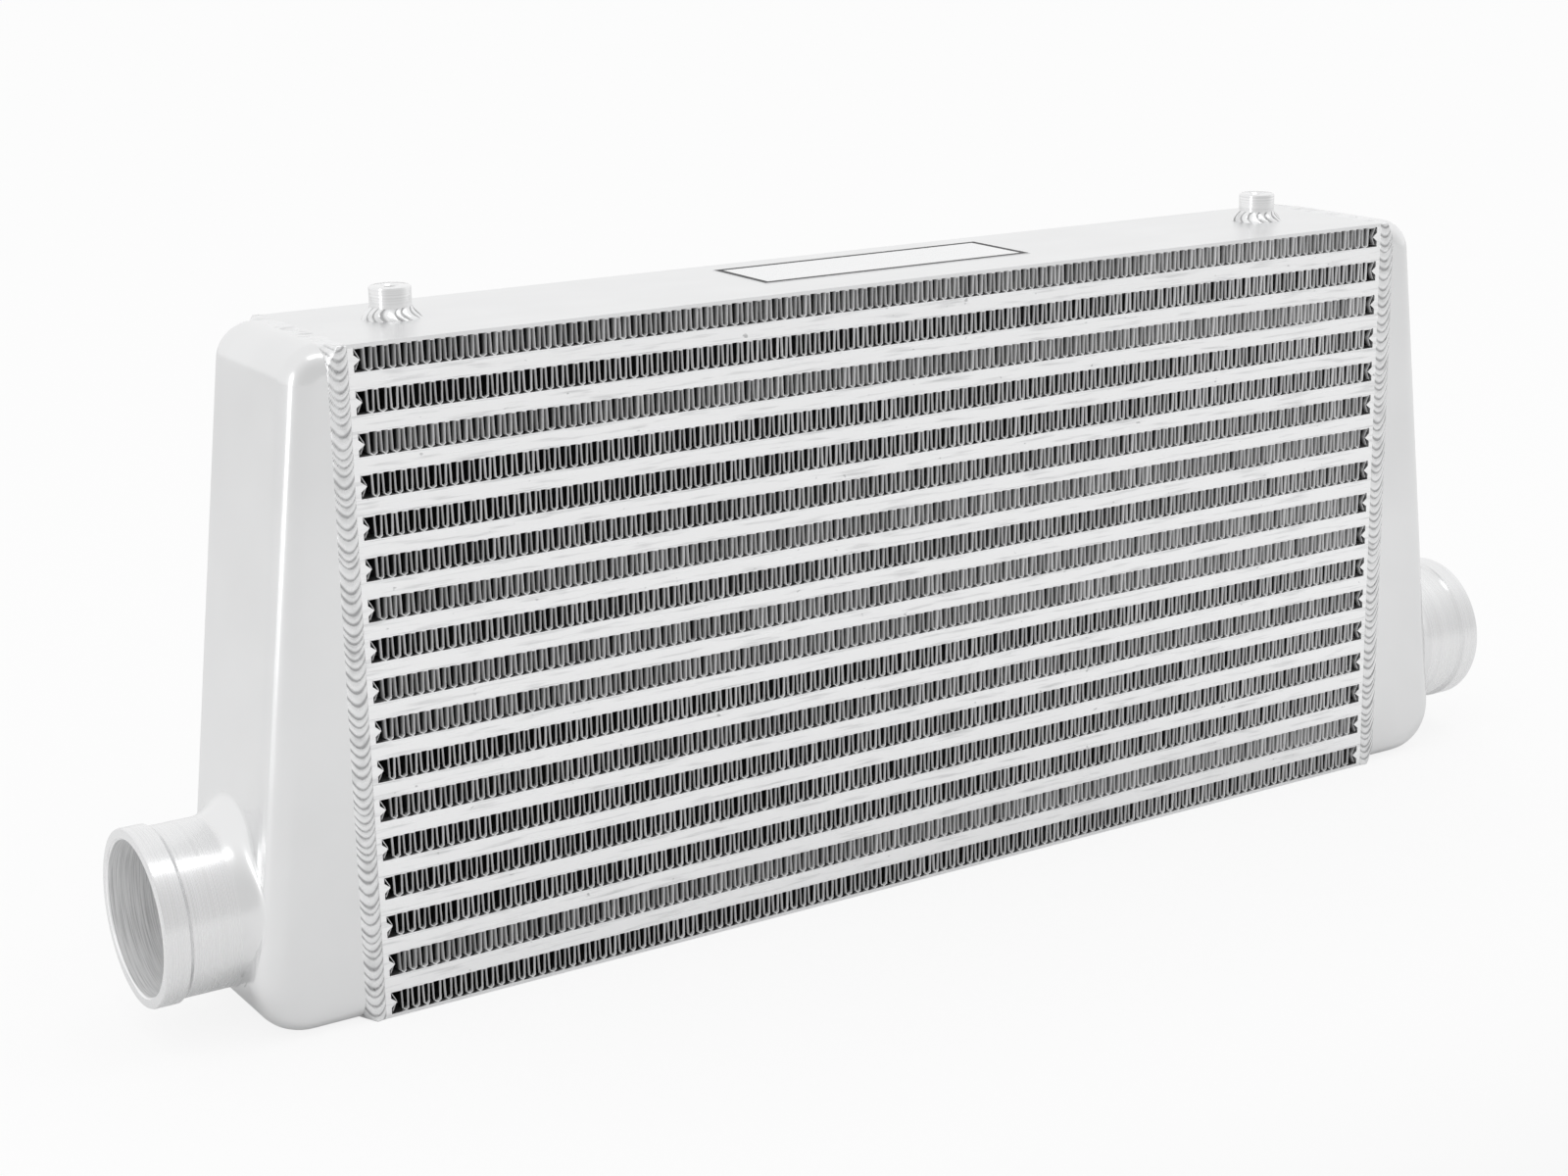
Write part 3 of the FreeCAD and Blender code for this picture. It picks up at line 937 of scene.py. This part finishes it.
def boss_fillet(centre, seed):
    rng = random.Random(seed)
    edges = [i + rng.uniform(-POOL_SHIFT, POOL_SHIFT) for i in range(POOLS_ROUND)]
    swell = [rng.uniform(*POOL_SWELL) for _ in range(POOLS_ROUND)]

    def pool_round(angle, up):
        # The number of the pool at this place and how far through it the place is
        slide = (angle / (2 * math.pi) * POOLS_ROUND + POOL_TWIST * math.sin(math.pi * up)) % POOLS_ROUND
        number = max((i for i in range(POOLS_ROUND) if edges[i] <= slide), default=POOLS_ROUND - 1)
        following = edges[(number + 1) % POOLS_ROUND] + (POOLS_ROUND if number == POOLS_ROUND - 1 else 0)
        behind = (slide - edges[number]) % POOLS_ROUND
        return number, min(1, max(0, behind / (following - edges[number])))

    def round_boss(angle, radius, height):
        return (centre.x + radius * math.cos(angle), centre.y + radius * math.sin(angle), centre.z + height)

    def wrap(column, row):
        angle = 2 * math.pi * (column % FILLET_COLUMNS) / FILLET_COLUMNS
        if row > FILLET_ROWS:
            # Back inside the boss, below its foot
            return round_boss(angle, boss_radius - IN_BOSS, -BELOW_PLATE)
        up = row / FILLET_ROWS
        number, share = pool_round(angle, up)
        fade = math.sin(math.pi * min(1, FOOT_SHARE + (1 - FOOT_SHARE) * (1 - up)))
        ripple = math.sin(math.pi * share) ** 0.6 * fade
        out = fillet_reach * (1 - up) ** FILLET_HOLLOW * swell[number] ** 0.5
        out *= 1 - RIPPLE_OUT + RIPPLE_OUT * ripple
        height = fillet_height * up * (1 - SWELL_UP + SWELL_UP * swell[number])
        height += FILLET_RIPPLE * ripple * (1 - up)
        radius = min(boss_radius - OVERLAP + out, boss_radius + fillet_reach)
        return round_boss(angle, radius, min(height, fillet_height) - FOOT_SINK)

    def groove_at(column, row):
        # Painted shade in the grooves between the fillet's pools
        angle = 2 * math.pi * (column % FILLET_COLUMNS) / FILLET_COLUMNS
        return groove_shade(pool_round(angle, min(1, row / FILLET_ROWS))[1])

    shape = carried_grid(FILLET_COLUMNS, FILLET_ROWS + 1, wrap, groove_at)
    close_ring(shape)
    return shape


fillets = bmesh.new()
for number, centre in enumerate(boss_centres):
    part = boss_fillet(centre, FIRST_FILLET_SEED + number)
    mesh = bpy.data.meshes.new("fillet")
    part.to_mesh(mesh)
    part.free()
    fillets.from_mesh(mesh)
    bpy.data.meshes.remove(mesh)
fillet_piece = add_piece("boss_fillets", fillets, [welded], "boss_welds", FILLET_SHARP_FROM)
print("boss fillets, faces:", len(fillet_piece.data.polygons))

# %% [markdown]
# On the top plate lies a thin label with a black frame. Its field stays bare. Two
# insets of one flat plate make a thin silver rim and then the frame, so each band of
# faces can take its own finish without a texture.

# %% Label
LABEL_LOW = Vector((-0.071, -0.0165))
LABEL_HIGH = Vector((0.082, 0.031))
LABEL_THICKNESS = 0.00025
SILVER_RIM = 0.0004
BLACK_FRAME = 0.0048
BLACK_FACE, SILVER_FACE = range(2)

shape = bmesh.new()
bmesh.ops.create_grid(shape, x_segments=1, y_segments=1, size=0.5)
label_size = LABEL_HIGH - LABEL_LOW
bmesh.ops.scale(shape, vec=(label_size.x, label_size.y, 1), verts=shape.verts)
middle = (LABEL_LOW + LABEL_HIGH) / 2
bmesh.ops.translate(shape, verts=shape.verts, vec=(middle.x, middle.y, CORE_TOP + LABEL_THICKNESS))
field = shape.faces[:]
for width, number in ((SILVER_RIM, SILVER_FACE), (BLACK_FRAME, BLACK_FACE)):
    inset = bmesh.ops.inset_region(shape, faces=field, thickness=width, depth=0, use_boundary=True)
    for face in inset["faces"]:
        face.material_index = number
for face in field:
    face.material_index = SILVER_FACE
outline = [edge for edge in shape.edges if edge.is_boundary]
skirt = bmesh.ops.extrude_edge_only(shape, edges=outline)["geom"]
lower = [part for part in skirt if isinstance(part, bmesh.types.BMVert)]
bmesh.ops.translate(shape, verts=lower, vec=(0, 0, -LABEL_THICKNESS))
bmesh.ops.holes_fill(shape, edges=[edge for edge in shape.edges if edge.is_boundary])
label = add_piece("label", shape, [black, foil])
print("label, faces:", len(label.data.polygons))

# %% [markdown]
# The studio is a white room on a pale floor. The eye and the metal see the same white round the part, and a
# share of true paint keeps the soft shadow under it. Further to the front the floor's glow is painted
# greyer, a painted fall of light that gives the castings their soft grey faces. A strength of 1 is white,
# so what the eye sees of the room stays at or below it.

# %% Floor
FLOOR_COLOUR = (0.83, 0.83, 0.83)
FLOOR_SEEN = 0.84
FLOOR_MIRRORED = 0.14
GREY_FROM = -1.05
WHITE_FROM = -0.25
GREY_STRENGTH = 0.70


def seen_or_mirrored(owner, direct, mirrored):
    # How much of the backdrop shows: directly, or in metal and through glass
    path = add_node(owner, "ShaderNodeLightPath")
    either = reckon(owner, "MAXIMUM", path.outputs["Is Glossy Ray"], path.outputs["Is Transmission Ray"])
    seen = reckon(owner, "MULTIPLY", path.outputs["Is Camera Ray"], direct)
    return reckon(owner, "MAXIMUM", seen, reckon(owner, "MULTIPLY", either, mirrored))


floor_shape = bmesh.new()
bmesh.ops.create_grid(floor_shape, x_segments=1, y_segments=1, size=30)
floor_finish, shader = new_finish("floor_paint", FLOOR_COLOUR, 0.8, 0.0)
floor = add_object("floor", floor_shape, floor_finish)

floor_glow = add_node(floor_finish, "ShaderNodeEmission", Color=(1, 1, 1, 1))
# Painted light: the floor's glow is full near the part and falls to grey further to the front
glow_falloff = spread(floor_finish, place_along(floor_finish, "Y"), GREY_STRENGTH, 1.0,
                  GREY_FROM, WHITE_FROM, "SMOOTHSTEP")
join(floor_finish, glow_falloff, floor_glow.inputs["Strength"])
choice = add_node(floor_finish, "ShaderNodeMixShader")
join(floor_finish, seen_or_mirrored(floor_finish, FLOOR_SEEN, FLOOR_MIRRORED), choice.inputs[0])
join(floor_finish, shader.outputs["BSDF"], choice.inputs[1])
join(floor_finish, floor_glow.outputs["Emission"], choice.inputs[2])
surface = floor_finish.node_tree.nodes["Material Output"].inputs["Surface"]
join(floor_finish, choice.outputs["Shader"], surface)
print("floor laid")

# %% [markdown]
# The sky lights the part a little more from above than from the sides. Seen directly
# or in the metal it is white behind the part and greyer in front of it. A tall narrow
# lamp at the left draws the bright line along the casting's edge, and a long narrow
# one overhead the line along the necks. Both are weak, so pale metal doesn't clip.

# %% Sky and lamps
world = bpy.data.worlds.new("studio")
bpy.context.scene.world = world
world.use_nodes = True
lit = spread(world, place_along(world, "Z", "Generated"), 0.80, 1.05, -0.1, 0.9, "SMOOTHSTEP")
shown = spread(world, place_along(world, "Y", "Generated"), 0.74, 1.0, -0.9, 0.0, "SMOOTHSTEP")
strength = add_node(world, "ShaderNodeMix")
join(world, seen_or_mirrored(world, 1.0, 1.0), strength.inputs["Factor"])
join(world, lit, strength.inputs["A"])
join(world, shown, strength.inputs["B"])
background = world.node_tree.nodes["Background"]
background.inputs["Color"].default_value = (1, 1, 1, 1)
join(world, strength.outputs["Result"], background.inputs["Strength"])


def soft_light(name, place, target, size, power):
    data = bpy.data.lights.new(name, "AREA")
    data.shape = "RECTANGLE"
    data.size, data.size_y = size
    data.energy = power
    lamp = bpy.data.objects.new(name, data)
    aim = Vector(target) - Vector(place)
    lamp.location = place
    lamp.rotation_euler = aim.to_track_quat("-Z", "Y").to_euler()
    bpy.context.scene.collection.objects.link(lamp)


# The second aim is a hair off the vertical, so that its long side stays along the core
soft_light("edge_light", (-2.2, -0.45, 0.6), (-0.34, -0.03, 0.15), size=(0.14, 1.3), power=3.0)
soft_light("high_light", (0.35, -0.40, 1.84), (0.35, -0.3999, 0), size=(1.9, 0.26), power=2.6)
print("lamps:", [lamp.name for lamp in bpy.data.lights])

# %% [markdown]
# Last, the view transform is set to Standard.

# %% View transform
bpy.context.scene.view_settings.view_transform = "Standard"
